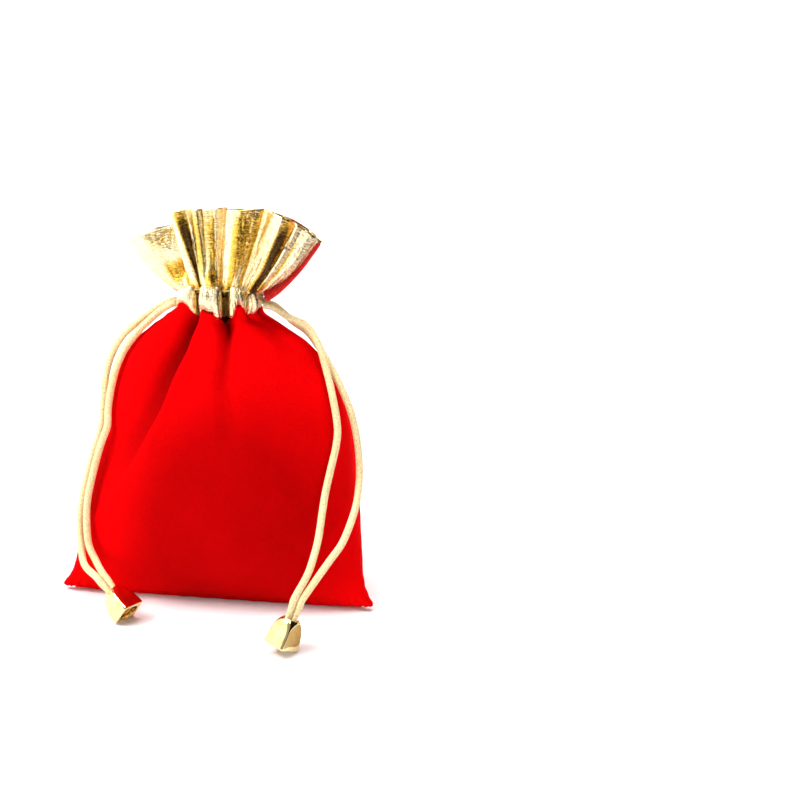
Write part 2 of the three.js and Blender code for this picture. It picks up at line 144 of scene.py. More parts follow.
class Nodes:
    """A material and short calls to wire its nodes."""

    def __init__(self, name):
        self.material = bpy.data.materials.new(name)
        self.material.use_nodes = True
        self.tree = self.material.node_tree
        self.shader = self.tree.nodes["Principled BSDF"]

    def add(self, kind, values=None, **settings):
        node = self.tree.nodes.new(kind)
        for key, value in settings.items():
            setattr(node, key, value)
        for key, value in (values or {}).items():
            self.put(node.inputs[key], value)
        return node

    def put(self, socket, value):
        if isinstance(value, bpy.types.NodeSocket):
            self.tree.links.new(value, socket)
        else:
            socket.default_value = value

    def set(self, **values):
        for key, value in values.items():
            self.put(self.shader.inputs[key.replace("_", " ")], value)

    def math(self, operation, a, b=0.0):
        return self.add("ShaderNodeMath", {0: a, 1: b}, operation=operation).outputs[0]

    def coords(self, scale, source="Object"):
        place = self.add("ShaderNodeTexCoord").outputs[source]
        return self.add("ShaderNodeMapping", {"Vector": place, "Scale": scale}).outputs[0]

    def painted_shade(self):
        """Painted shade, 0 to 1, as stored on the mesh: mostly how deep in a fold the cloth is, and on the
        front header also painted reflection bands.
        """
        return self.add("ShaderNodeAttribute", attribute_name="painted_shade").outputs["Fac"]

    def mix(self, share, a, b):
        node = self.add("ShaderNodeMix", data_type="RGBA")
        self.put(node.inputs["Factor"], share)
        for socket, value in zip([i for i in node.inputs if i.type == "RGBA"], (a, b)):
            self.put(socket, value if isinstance(value, bpy.types.NodeSocket) else (*value, 1))
        return [o for o in node.outputs if o.type == "RGBA"][0]

    def noise(self, vector, scale, detail=3.0, roughness=0.5):
        return self.add("ShaderNodeTexNoise", {
            "Vector": vector, "Scale": scale, "Detail": detail, "Roughness": roughness,
        }).outputs[0]

    def ramp(self, value, *stops):
        node = self.add("ShaderNodeValToRGB", {"Fac": value})
        marks = node.color_ramp.elements
        while len(marks) < len(stops):
            marks.new(0.5)
        for mark, (at, colour) in zip(marks, stops):
            mark.position, mark.color = at, (*colour, 1)
        return node.outputs[0]

    def bump(self, height, distance, strength=1.0, normal=None):
        values = {"Height": height, "Distance": distance, "Strength": strength}
        if normal is not None:
            values["Normal"] = normal
        return self.add("ShaderNodeBump", values).outputs[0]


def velvet_material():
    """Short cotton pile: fibre speckle, a red sheen, and painted shade in the folds and over the belly.

    The oval of painted shade lies 7 mm right of the middle and 28 mm up.
    """
    n = Nodes("velvet")
    place = n.coords((1000, 1000, 1000))
    nap = n.noise(place, 0.06, 3.0)
    fibre = n.noise(place, 3.2, 4.0, 0.65)
    mixed = n.math("ADD", n.math("MULTIPLY", nap, 0.25), n.math("MULTIPLY", fibre, 0.75))
    pile = n.ramp(mixed, (0.32, (0.52, 0.0, 0.0)), (0.52, (0.74, 0.0, 0.001)), (0.72, (0.84, 0.0, 0.002)))
    # painted shade: inside an oval over the belly the pile is coloured up to 40% darker
    belly = n.add("ShaderNodeMapping", {
        "Vector": place, "Location": (-0.19, 0.0, -0.58), "Scale": (1 / 37, 0.0, 1 / 48),
    }).outputs[0]
    away = n.add("ShaderNodeVectorMath", {0: belly}, operation="LENGTH").outputs["Value"]
    painted_belly_shade = n.ramp(n.math("SUBTRACT", away, n.math("MULTIPLY", nap, 0.16)),
                     (0.55, (0.60, 0.60, 0.60)), (1.0, (1, 1, 1)))
    pile = n.add("ShaderNodeVectorMath", {0: pile, 1: painted_belly_shade}, operation="MULTIPLY").outputs[0]
    n.set(
        # painted shade: deep in the folds the velvet is coloured near black
        Base_Color=n.mix(n.painted_shade(), pile, (0.045, 0.0, 0.0)),
        Roughness=0.9,
        Specular_IOR_Level=0.02,
        Sheen_Weight=0.65,
        Sheen_Roughness=0.35,
        Sheen_Tint=(1.0, 0.0, 0.0, 1),
        Normal=n.bump(fibre, 0.00018, 0.55, n.bump(n.noise(place, 0.55, 2.0), 0.0005, 0.22)),
    )
    return n.material


def lame_material():
    """Foil-faced knit: short ribs across the pleats and crinkle facets. Painted shade turns it deep gold,
    then dark.
    """
    n = Nodes("lame")
    ribs = n.noise(n.coords((800, 2300, 1), "UV"), 1.0, 3.0, 0.6)
    facets = n.noise(n.coords((420, 900, 1), "UV"), 1.0, 2.0, 0.5)
    weave = n.noise(n.coords((1000, 1000, 1000)), 4.5, 2.0, 0.5)
    worn = n.math("ADD", n.math("MULTIPLY", ribs, 0.6), n.math("MULTIPLY", weave, 0.4))
    # painted shade and painted reflections: where the painted shade mask is high the foil is coloured deep
    # gold (glow), then near black, speckled by the ribs
    speckled = n.math("ADD", n.painted_shade(), n.math("MULTIPLY", n.math("SUBTRACT", ribs, 0.5), 1.15))
    glow = n.ramp(speckled, (0.16, (0, 0, 0)), (0.38, (1, 1, 1)))
    painted_shade_and_dark_reflection = n.ramp(speckled, (0.46, (0, 0, 0)), (0.84, (1, 1, 1)))
    foil = n.ramp(worn, (0.30, (0.66, 0.43, 0.13)), (0.47, (0.94, 0.78, 0.45)), (0.66, (1.0, 0.95, 0.82)))
    n.set(
        Base_Color=n.mix(painted_shade_and_dark_reflection, n.mix(glow, foil, (0.88, 0.53, 0.07)), (0.07, 0.035, 0.008)),
        Metallic=1.0,
        Roughness=n.math("ADD", n.math("MULTIPLY", weave, 0.20), 0.14),
        Normal=n.bump(ribs, 0.0003, 0.75, n.bump(facets, 0.0005, 0.5)),
    )
    return n.material


def cord_material(name, colours, sheen):
    """Glossy filament yarn: fine streaks along the braid's strands."""
    n = Nodes(name)
    yarn = n.noise(n.coords((1000, 1000, 1000)), 2.6, 3.0, 0.6)
    strands = n.add("ShaderNodeTexWave", {
        "Vector": n.coords((1, 1, 1), "UV"), "Scale": 9.0, "Distortion": 0.5, "Detail": 1.0,
    }, bands_direction="DIAGONAL").outputs["Fac"]
    n.set(
        Base_Color=n.ramp(yarn, (0.32, colours[0]), (0.5, colours[1]), (0.68, colours[2])),
        Roughness=0.55,
        Specular_IOR_Level=0.4,
        Sheen_Weight=sheen,
        Sheen_Roughness=0.4,
        Normal=n.bump(yarn, 0.00012, 0.6, n.bump(strands, 0.00006, 0.4)),
    )
    return n.material


def plated_material():
    """Bright gold plating with faint cloudiness."""
    n = Nodes("plated_gold")
    cloud = n.noise(n.coords((1000, 1000, 1000)), 0.35, 3.0, 0.6)
    n.set(
        Base_Color=n.ramp(cloud, (0.35, (0.78, 0.56, 0.22)), (0.65, (0.88, 0.71, 0.39))),
        Metallic=1.0,
        Roughness=n.math("ADD", n.math("MULTIPLY", cloud, 0.10), 0.05),
        Normal=n.bump(cloud, 0.00006, 0.3),
    )
    return n.material


CREAMS = ((0.62, 0.41, 0.14), (0.86, 0.68, 0.35), (0.98, 0.86, 0.56))
REDS = ((0.42, 0.003, 0.002), (0.72, 0.010, 0.006), (0.90, 0.03, 0.012))
VELVET_LOOK = velvet_material()
LAME_LOOK = lame_material()
CORD_LOOK = cord_material("cord_cream", CREAMS, 0.12)
THREAD_LOOK = cord_material("thread_red", REDS, 0.0)
GOLD_THREAD_LOOK = cord_material("thread_gold", CREAMS, 0.1)
PLATED_LOOK = plated_material()


# ---- meshes ------------------------------------------------------------------------------


def make_object(name, points, faces, look, uv=None):
    """A smooth-shaded mesh in the row frame, from points in millimetres."""
    mesh = bpy.data.meshes.new(name)
    mesh.from_pydata(to_frame(points).tolist(), [], [tuple(f) for f in faces])
    mesh.validate()
    mesh.polygons.foreach_set("use_smooth", [True] * len(mesh.polygons))
    if uv is not None:
        layer = mesh.uv_layers.new(name="UVMap")
        corner = np.zeros(len(mesh.loops), np.int32)
        mesh.loops.foreach_get("vertex_index", corner)
        layer.data.foreach_set("uv", np.asarray(uv, np.float32)[corner].ravel())
    mesh.materials.append(look)
    obj = bpy.data.objects.new(name, mesh)
    bpy.context.scene.collection.objects.link(obj)
    return obj


def grid_normals(grid):
    """Unit normals of a grid of points."""
    return unit(np.cross(np.gradient(grid, axis=0), np.gradient(grid, axis=1)))


def cloth_sheet(name, inner, thickness, outward, look, painted_shade):
    """A closed sheet of cloth with a rounded rim, from the grid of points of its inner face.

    outward is 1 or -1: the side of the grid's normals on which the outer face lies, one thickness off.
    """
    uv = cloth_uv(inner)
    nu, nv = inner.shape[:2]
    outer = inner + grid_normals(inner) * thickness * outward
    index = np.arange(nu * nv).reshape(nu, nv)
    quads = np.stack([index[:-1, :-1], index[1:, :-1], index[1:, 1:], index[:-1, 1:]], -1).reshape(-1, 4)
    border = np.concatenate([index[:, 0], index[-1, 1:], index[-2::-1, -1], index[0, -2:0:-1]])
    away = np.zeros_like(inner)
    away[0] += inner[0] - inner[1]
    away[-1] += inner[-1] - inner[-2]
    away[:, 0] += inner[:, 0] - inner[:, 1]
    away[:, -1] += inner[:, -1] - inner[:, -2]
    count = nu * nv
    middle = (inner + outer).reshape(-1, 3)[border] / 2
    rim = middle + RIM * thickness * unit(away.reshape(-1, 3)[border])
    points = np.vstack([inner.reshape(-1, 3), outer.reshape(-1, 3), rim])
    k = np.arange(len(border))
    after = (k + 1) % len(border)
    low = np.stack([border, border[after], 2 * count + after, 2 * count + k], -1)
    high = np.stack([2 * count + k, 2 * count + after, count + border[after], count + border], -1)
    faces = [quads[:, ::-1], quads + count, low, high]
    if outward < 0:
        faces = [f[:, ::-1] for f in faces]
    uv, painted_shade = uv.reshape(-1, 2), np.clip(painted_shade, 0, 1).ravel()
    obj = make_object(name, points, np.vstack(faces), look, np.vstack([uv, uv, uv[border]]))
    # painted shade: stored on every point as a mask that the materials turn into darker colour
    layer = obj.data.attributes.new("painted_shade", "FLOAT", "POINT")
    layer.data.foreach_set("value", np.concatenate([painted_shade, painted_shade, painted_shade[border]]).astype(np.float32))
    return obj


def frames(path):
    """Two unit vectors across the path at each of its points, carried along without twist."""
    ahead = unit(np.gradient(path, axis=0))
    side = unit(np.cross(ahead[0], [0.3, 0.2, 1.0]))
    across = []
    for d in ahead:
        side = unit(side - d * (side @ d))
        across.append(side)
    across = np.array(across)
    return across, np.cross(ahead, across)


def tube_mesh(path, radius, sides):
    """Points, faces and UVs of a closed tube. radius is a number or one value for each ring and side."""
    across, up = frames(path)
    n = len(path)
    a = np.arange(sides) * 2 * math.pi / sides
    r = np.broadcast_to(radius, (n, sides))[..., None]
    rings = path[:, None] + r * (across[:, None] * np.cos(a)[:, None] + up[:, None] * np.sin(a)[:, None])
    index = np.arange(n * sides).reshape(n, sides)
    turn = np.roll(index, -1, axis=1)
    quads = np.stack([index[:-1], turn[:-1], turn[1:], index[1:]], -1).reshape(-1, 4).tolist()
    quads += [index[0, ::-1].tolist(), index[-1].tolist()]
    along = np.concatenate([[0], np.cumsum(np.linalg.norm(np.diff(path, axis=0), axis=1))])
    uv = np.stack(np.broadcast_arrays(a[None] / math.pi, along[:, None] / 3), -1)
    return rings.reshape(-1, 3), quads, uv.reshape(-1, 2)


def joined(name, parts, look):
    """One object from several (points, faces, uv) meshes."""
    points, faces, uvs, count = [], [], [], 0
    for p, f, uv in parts:
        points.append(p)
        uvs.append(uv)
        faces += [[i + count for i in face] for face in f]
        count += len(p)
    return make_object(name, np.vstack(points), faces, look, np.vstack(uvs))


def even(path, step):
    """The path again with points that far apart, in millimetres."""
    along = np.concatenate([[0], np.cumsum(np.linalg.norm(np.diff(path, axis=0), axis=1))])
    at = np.linspace(0, along[-1], max(3, int(along[-1] / step) + 1))
    return np.stack([np.interp(at, along, path[:, k]) for k in range(3)], -1)


def finish(obj, material_slot, body, *nodes):
    """Hide the CAD nodes a piece replaces and attach it to the body it rides on. material_slot is not used.
    """
    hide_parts(*nodes)
    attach(obj, body)
    return obj


# ---- cords -------------------------------------------------------------------------------

BRAID_PAIRS = 8
BRAID_PITCH = 0.78  # length of one diamond of the braid


def braid_relief(along, sides):
    """Height of a round braid's over-and-under strands, -1 to 1, for each ring and side."""
    around = np.arange(sides)[None] * BRAID_PAIRS / sides
    a = around + along[:, None] / (2 * BRAID_PITCH)
    b = around - along[:, None] / (2 * BRAID_PITCH)
    over = (np.floor(a) + np.floor(b)) % 2 == 0
    crown = np.where(over, np.sin(math.pi * (a % 1)), np.sin(math.pi * (b % 1)))
    return np.sqrt(np.clip(crown, 0, 1)) * 2 - 1


def braided(path, radius=CORD_R, sides=48, depth=0.06, step=0.13, squeezed=0.0):
    """A braided cord with a slightly tapered far end.

    Its last stretch, squeezed mm long, is drawn together by the cap's cord hole.
    """
    path = even(path, step)
    along = np.linspace(0, step * (len(path) - 1), len(path))
    relief = radius - depth + depth * braid_relief(along, sides)
    to_end = along[-1] - along
    pressed = np.minimum(1, 0.72 + to_end * 0.6)
    if squeezed:
        pressed = pressed * (1 - CORD_SQUEEZE * (1 - smooth(to_end, squeezed, squeezed + 3.5)))
    return tube_mesh(path, relief * pressed[:, None], sides), path


# Each cap: the middle of its cord hole, its axis, the way a flat side faces, and the line through its cords.
LEFT_CAP = {
    "top": (-29.7, -29, 8.4), "down": (0.706, -0.411, -0.577),
    "edge": (0.39, 0.92, 0.02), "apart": (0.68, 0.6, 0.42),
}
RIGHT_CAP = {
    "top": (29.2, -42.3, 10.1), "down": (-0.311, -0.305, -0.9),
    "edge": (0.88, -0.47, 0), "apart": (0.92, 0.14, -0.36),
}


def square_to(cap, wanted):
    """Direction near the wanted one that is square to the cap's axis."""
    down = unit(cap["down"])
    return unit(np.array(wanted, float) - down * (down @ np.array(wanted, float)))


def cap_point(cap, along, across):
    """Point that far below the cord hole and that far to one side, on the line through the two cords."""
    return np.array(cap["top"]) + unit(cap["down"]) * along + square_to(cap, cap["apart"]) * across


# Each tail: its cap, its side of the pair and its route from the neck to just above the cap.
STRANDS = {
    "left_tail_back": (LEFT_CAP, -PAIR, [
        (-13.5, 1.35, 92.9), (-16, 1.2, 92.5), (-20, 0.7, 90.4), (-25.6, -0.5, 86.4), (-30.3, -3.3, 82.2),
        (-33.1, -5.8, 77.1), (-34.5, -7.6, 72), (-35, -9.2, 67.3), (-35.1, -10.8, 62.4),
        (-35.5, -12.2, 56.4), (-37.2, -13, 50.6), (-39.8, -13.3, 42.6), (-42.2, -14.2, 33),
        (-43.2, -15.4, 25.6), (-42.7, -17.4, 18), (-40.6, -21.4, 13),
    ]),
    "left_tail_front": (LEFT_CAP, PAIR, [
        (-13.5, -1.35, 92.9), (-16, -1.6, 92), (-19.6, -2.2, 89.4), (-24.8, -3.4, 84.4), (-28.7, -6.1, 79.2),
        (-31, -8.8, 73.8), (-32.3, -10.4, 68.4), (-32.8, -11.8, 64.6), (-33, -13.2, 60.8),
        (-33, -14.8, 56.6), (-35.1, -15, 51.2), (-37.6, -15, 43.4), (-40, -15.8, 33.6),
        (-40.5, -17.2, 26.2), (-39.7, -18.9, 18.8), (-36.8, -21.2, 14.2),
    ]),
    "right_tail_front": (RIGHT_CAP, -PAIR, [
        (13.5, -1.35, 93.5), (15.6, -1, 93.1), (17.9, -0.4, 91.8), (21.4, -0.4, 89.6), (26.7, -1, 87.4),
        (30.7, -2.9, 82.2), (33, -5, 76.6), (35.8, -8.7, 68.6), (37.7, -11.2, 60), (37.7, -13.2, 54.4),
        (36.3, -16.2, 46.8), (35.2, -19, 40.3), (34.9, -23, 34.8), (34.7, -27.6, 29.6), (34.1, -32.4, 25.4),
        (33, -36.6, 21.6),
    ]),
    "right_tail_back": (RIGHT_CAP, PAIR, [
        (13.5, 1.35, 93.5), (16, 2.4, 92.4), (18.4, 3.2, 90.2), (21.8, 3, 87.3), (26.6, 2, 84.3),
        (30.6, 0.6, 79.4), (34, -2.2, 75.4), (37.9, -5.2, 69.7), (41.4, -7, 61.9), (43.5, -8.8, 52.9),
        (44.4, -11.4, 44.4), (44.3, -15.4, 37.6), (43.4, -20.8, 32.8), (41.6, -26.2, 28), (38.8, -31, 24.4),
        (36, -35.6, 20.8),
    ]),
}


def make_tail(name):
    """A drawstring's tail from the neck into its cap."""
    cap, across, route = STRANDS[name]
    inside = BEAD_LENGTH - SOCKET_DEPTH - 0.2
    near = 1 - CORD_SQUEEZE
    ends = [(-6.5, 1), (-4, 0.96), (-1, near), (1.5, near), (inside, near)]
    ends = [cap_point(cap, along, across * share) for along, share in ends]
    dense = curve(np.vstack([route, ends]), np.linspace(0, 1, 2400))
    mesh, path = braided(dense, squeezed=inside + 0.6)
    obj = make_object(name + "_cord", *mesh[:2], CORD_LOOK, mesh[2])
    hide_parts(name)
    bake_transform(obj)
    return obj, path


def make_loop(side):
    """The stretch of one drawstring that runs round the neck inside the channel."""
    sign = -1 if side == "left" else 1
    z = LOOP_LOW if sign < 0 else LOOP_HIGH
    leave = LOOP_LOW if sign < 0 else EXIT_RIGHT
    a = np.radians(np.linspace(-158, 158, 17))
    round_neck = np.stack([-sign * LOOP_A * np.cos(a), LOOP_B * np.sin(a), np.full(17, z)], -1)
    mid = (z + leave) / 2
    points = [(sign * NECK_EXIT, -1.35, leave), (sign * 11.4, -1.4, mid), *round_neck]
    points += [(sign * 11.4, 1.4, mid), (sign * NECK_EXIT, 1.35, leave)]
    mesh, path = braided(curve(points, np.linspace(0, 1, 1200)))
    obj = make_object(side + "_drawstring_cord", *mesh[:2], CORD_LOOK, mesh[2])
    finish(obj, "cord", "pouch", side + "_drawstring")
    return obj, path


def place_on_cap(points, cap):
    """Points built round +Z are turned so that +Z runs down the cap's axis from its cord hole."""
    x, z = square_to(cap, cap["edge"]), unit(cap["down"])
    return np.asarray(points) @ np.array([x, np.cross(z, x), z]) + np.array(cap["top"])


def make_knot(side, cap):
    """Overhand knot pulled tight: a cord on a trefoil line, pressed to the size of the cap's socket."""
    t = np.linspace(0, 2 * math.pi, 400)
    line = np.stack([np.sin(t) + 2 * np.sin(2 * t), np.cos(t) - 2 * np.cos(2 * t), -1.5 * np.sin(3 * t)], -1)
    line = line * 0.45 + [0, 0, BEAD_LENGTH - SOCKET_DEPTH + 2.3]
    mesh, _ = braided(place_on_cap(line, cap), 0.95, 36, 0.05, 0.16)
    obj = make_object(side + "_knot_cord", *mesh[:2], CORD_LOOK, mesh[2])
    return finish(obj, "cord", side + "_tail", side + "_knot")


def smooth_min(a, b, k):
    """The smaller of a and b, rounded where they are within k of each other."""
    h = np.clip(0.5 + 0.5 * (b - a) / k, 0, 1)
    return b + (a - b) * h - k * h * (1 - h)


def cap_outline(z, a):
    """Radius of the cap at height z below its cord hole and angle a: a dome cut by four tapering flats."""
    half = 2.95 + 1.05 * smooth(z, -1.5, 8.5)
    flat = half / np.maximum(np.abs(np.cos(a)), np.abs(np.sin(a)))
    dome = 2.5 + 3.0 * (1 - np.exp(-np.maximum(z, 0) / 2.6)) + 0.02 * z
    return smooth_min(flat, dome, 1.1)


def make_cap(side, cap):
    """Plated square bell, open at the base, with the cord hole at its top.

    Its skin is a stack of rings, each a radius at every angle and one height: out of the cord hole, down the
    outside, round the base and up the socket.
    """
    sides = 160
    a = (np.arange(sides) + 0.5) * 2 * math.pi / sides
    collar, lip, shoulder = BORE_R + 0.12, SOCKET_R + 0.2, 0.4
    floor = BEAD_LENGTH - SOCKET_DEPTH
    edge = cap_outline(BEAD_LENGTH, a)
    rings = [(BORE_R, 1.2), (BORE_R, 0.3), (BORE_R + 0.06, 0.1)]
    for z in np.concatenate([np.linspace(0, 2, 22), np.linspace(2.15, BEAD_LENGTH - BASE_ROUND, 34)]):
        r = cap_outline(z, a)
        if z < shoulder:
            r = collar + (r - collar) * math.sqrt(z / shoulder)
        rings.append((r, z))
    for turned in np.radians((18, 36, 54, 72, 90)):
        r = edge - BASE_ROUND * (1 - math.cos(turned))
        rings.append((r, BEAD_LENGTH - BASE_ROUND * (1 - math.sin(turned))))
    for share in (0.25, 0.5, 0.75):
        rings.append(((edge - BASE_ROUND) * (1 - share) + lip * share, BEAD_LENGTH))
    for r, rise in ((lip, 0), (SOCKET_R + 0.06, 0.06), (SOCKET_R, 0.22), (SOCKET_R, 2.5)):
        rings.append((r, BEAD_LENGTH - rise))
    rings += [(SOCKET_R, floor + 0.3), (SOCKET_R - 0.25, floor), (BORE_R, floor)]
    rz = np.array([np.stack([np.broadcast_to(r, sides), np.full(sides, z)], -1) for r, z in rings])
    points = np.stack([rz[..., 0] * np.cos(a), rz[..., 0] * np.sin(a), rz[..., 1]], -1)
    index = np.arange(rz.shape[0] * sides).reshape(-1, sides)
    turn, down = np.roll(index, -1, axis=1), np.roll(index, -1, axis=0)
    faces = np.stack([index, turn, np.roll(down, -1, axis=1), down], -1).reshape(-1, 4)
    obj = make_object(side + "_cap", place_on_cap(points.reshape(-1, 3), cap), faces, PLATED_LOOK)
    return finish(obj, "plated_cap", side + "_cap", side + "_bead")


def make_cords():
    """Each side's knot, cap, two tails and loop."""
    for side, cap in (("left", LEFT_CAP), ("right", RIGHT_CAP)):
        knot, bead = make_knot(side, cap), make_cap(side, cap)
        for name in (n for n in STRANDS if n.startswith(side)):
            obj, path = make_tail(name)
        obj, path = make_loop(side)


make_cords()


# ---- velvet body -------------------------------------------------------------------------

# Seams and middle lines of the panels, from the bottom corners or seam up to the neck.
LEFT_SEAM = [
    (-50.2, -12.4, 1.5), (-47, -11.8, 6), (-45.4, -9.4, 12), (-45, -6, 19), (-44.2, -3, 27), (-42, -1, 36),
    (-39.2, 0, 46), (-36.6, 0, 56.5), (-34, 0, 66), (-31.2, 0, 74), (-25.3, 0, 81), (-17.6, 0, 87.2),
    (-13.4, 0, 90.4), (-NECK_A - 0.2, 0, BAND_SIDE_Z + 1.6),
]
RIGHT_SEAM = [
    (48.2, -12.8, 1.7), (45.8, -12, 6), (44, -9.6, 12), (43, -6, 19), (42, -3, 27), (41, -1, 36), (40, 0, 46),
    (38.8, 0, 56.5), (36, 0, 66.5), (31.6, 0, 75), (26, 0, 81.5), (17.8, 0, 86.4), (12.9, 0, 88.8),
    (NECK_A + 0.1, 0, BAND_SIDE_Z),
]
FRONT_MID = [
    (0, -14.2, 2.6), (0, -17, 7.5), (0, -19.5, 13.5), (0, -21.8, 20.5), (0, -23.4, 28.5), (0, -24.2, 37),
    (0, -24, 46.5), (0, -22.8, 55.5), (0, -20.6, 64), (0, -17.6, 72), (0, -14.2, 79.5), (0, -10, 85.8),
    (0, -7.9, 89.5), (0, -NECK_B, BAND_Z),
]
BACK_MID = [
    (0, -14, 2.5), (0, -10, -2.2), (0, -1, -4.2), (0, 8.6, -4.2), (0, 16.6, -1.4), (0, 22.2, 7),
    (0, 24.8, 18.4), (0, 25.6, 33), (0, 24.8, 47), (0, 22, 60.5), (0, 17, 73), (0, 10.8, 84),
    (0, 7.9, 89.2), (0, NECK_B, BAND_Z),
]
# Gathers of the filled cloth. x is the valley's place at the neck, wandering by drift and bend as the depth h
# below the neck grows from 0 to 100. Above 0, lean makes the right wall the steep one.
Fold = namedtuple("Fold", "x drift bend width widen depth reach lean")
FRONT_FOLDS = [
    Fold(-4.3, -0.11, -0.0057, 2.0, 0.032, 7.4, 42, 0.6),
    Fold(3.3, 0.055, 0, 2.1, 0.012, 8.0, 25, 0),
    Fold(8.8, 0.20, 0.018, 0.9, 0.060, 2.4, 24, 0.2),
]
BACK_FOLDS = [
    Fold(-8.8, -0.25, -0.008, 1.1, 0.05, 2.4, 24, 0),
    Fold(-3.8, -0.15, -0.002, 1.8, 0.04, 3.8, 38, -0.3),
    Fold(1.7, 0.05, 0.001, 1.5, 0.03, 3.4, 24, 0.2),
    Fold(7.2, 0.20, 0.004, 1.5, 0.04, 3.6, 40, 0.3),
]
# How much higher or lower than the plain band edge the velvet ends, round the neck.
FRONT_LIFT = [
    (-90, 0), (-50, 1.3), (-26, 0.2), (-6, -1.6), (8, -3.0), (15, -9), (22, -1.8), (38, 1.4), (52, -0.5),
    (66, -0.6), (90, -1.6),
]
BACK_LIFT = [
    (-90, 0), (-36, 0.8), (-20, -0.8), (-4, 0.6), (9, -1.4), (24, 0.8), (40, -1.0), (60, 0), (90, -1.6),
]


def drop(folds, phi):
    """How far the velvet ends below the plain band edge, in the gathers."""
    lift = FRONT_LIFT if folds is FRONT_FOLDS else BACK_LIFT
    return 0.5 * gather(folds, phi, 0) + np.maximum(0, -steps(lift, np.degrees(phi)))


def gather(folds, phi, h, tight=1.0):
    """How deep the cloth is drawn in at angle phi and depth h below the neck, all gathers together."""
    level = 1 - np.asarray(h, float) / 100
    across = np.sin(phi) * (curve(RIGHT_SEAM, level) - curve(LEFT_SEAM, level))[..., 0] / 2
    total = 0
    for f in folds:
        off = (across - f.x - f.drift * h - f.bend * h * h) / (tight * f.width * (1 + f.widen * h))
        off = off / (1 - f.lean * np.tanh(4 * off))
        total = total + f.depth * np.exp(-np.abs(off) ** 2.6) * bell(h / f.reach)
    return total


def puff(folds, phi, tight=1.0):
    """How far the cloth bulges at the neck: 1.7 between the gathers and 0 in them."""
    return 1.7 - np.minimum(1.7, 0.75 * gather(folds, phi, 0, tight))


def body_point(mid, folds, phi, s):
    """Point of a panel's inner face: phi -90 to 90 degrees from left seam to right seam, s 0 to 1 upwards."""
    lift = FRONT_LIFT if folds is FRONT_FOLDS else BACK_LIFT
    left, right, centre = curve(LEFT_SEAM, s), curve(RIGHT_SEAM, s), curve(mid, s)
    side = left + (right - left) * (0.5 + 0.5 * np.sin(phi))[..., None]
    belly = np.clip(np.cos(phi), 0, 1) ** (0.62 + 0.38 * np.minimum(1, s * 1.3))
    h = (1 - s) * 100
    pull = gather(folds, phi, h) * (0.15 + 0.85 * (1 - np.exp(-(h + drop(folds, phi)) / 5)))
    depth = centre[..., 1] - side[..., 1]
    inward = np.stack([
        np.sin(phi) / ((right - left)[..., 0] / 2), np.cos(phi) / np.where(abs(depth) < 1e-6, 1e-6, depth),
        np.zeros_like(phi),
    ], -1)
    p = np.stack([
        side[..., 0], side[..., 1] + depth * belly, side[..., 2] + (centre[..., 2] - side[..., 2]) * belly,
    ], -1)
    p = p - unit(inward) * pull[..., None]
    bulge = 0.7 * puff(folds, phi) * bell(h / 8) * smooth(80 - abs(np.degrees(phi)), 0, 20)
    p = p + unit(inward) * bulge[..., None]
    p[..., 2] -= 0.5 * gather(folds, phi, 0) * bell(h / 9) - 0.9 * bell(h / 6) * np.cos(phi)
    p[..., 2] += steps(lift, np.degrees(phi)) * bell(h / 7)
    return p


def side_of(front):
    """Name of the front or back side and its direction along y."""
    return ("front", -1) if front else ("back", 1)


def lattice(limit, nu, nv, power=1.0):
    """Angles and levels of a grid that goes limit degrees to each side."""
    return np.meshgrid(
        np.radians(np.linspace(-limit, limit, nu)), np.linspace(0, 1, nv) ** power, indexing="ij",
    )


def cloth_uv(grid):
    """UVs in metres, measured along the middle lines of a grid of points."""
    mid_row, mid_col = grid[:, grid.shape[1] // 2], grid[grid.shape[0] // 2]
    u = np.concatenate([[0], np.cumsum(np.linalg.norm(np.diff(mid_row, axis=0), axis=1))])
    v = np.concatenate([[0], np.cumsum(np.linalg.norm(np.diff(mid_col, axis=0), axis=1))])
    return np.stack(np.meshgrid(u, v, indexing="ij"), -1) / 1000


def slack(grid, phi, s, seed):
    """Soft waves of the filled cloth and puckers along the sewn edges."""
    edge = np.degrees(math.pi / 2 - abs(phi))
    free = smooth(edge, 0, 25) * smooth(s, 0, 0.12)
    waves = 0.55 * rough(grid, 26, seed, 2) + 0.12 * rough(grid, 7, seed + 1, 2)
    level = s * 100
    pucker = -0.35 * bell(edge / 3.5) * (0.6 + 0.4 * np.sin(level * 1.25 + seed)) * smooth(s, 0, 0.05)
    pucker -= 0.22 * bell(s / 0.035) * (1 + np.sin(np.degrees(phi) * 0.7 + seed))
    return waves * free * smooth(1 - s, 0.0, 0.2) + pucker


def make_panel(front):
    """A velvet panel. The back one is pressed flat where it carries the pouch."""
    mid, folds = (FRONT_MID, FRONT_FOLDS) if front else (BACK_MID, BACK_FOLDS)
    side, sign = side_of(front)
    phi, s = lattice(90, 241, 221, 0.88)
    grid = body_point(mid, folds, phi, s) + [0, sign * SEW_GAP, -sign * SEW_GAP]
    outward = grid_normals(grid) * -sign
    grid = grid + outward * slack(grid, phi, s, 3 if front else 8)[..., None]
    if not front:
        z, soft = grid[..., 2] - VELVET, 1.2
        bend = np.where(z < -soft, 0, (z + soft) ** 2 / (4 * soft))
        grid[..., 2] = np.where(z < soft, VELVET + bend, grid[..., 2])
    name = side + "_panel"
    h = (1 - s) * 100
    # painted shade: the velvet is coloured darker the deeper it lies in a gather
    painted_shade = gather(folds, phi, h) / 6 * (0.60 + 0.018 * h)
    obj = cloth_sheet(name + "_velvet", grid, VELVET, -sign, VELVET_LOOK, 0.9 * np.clip(painted_shade, 0, 1) ** 1.5)
    return finish(obj, "velvet", "pouch", name)


# ---- channel and header ------------------------------------------------------------------

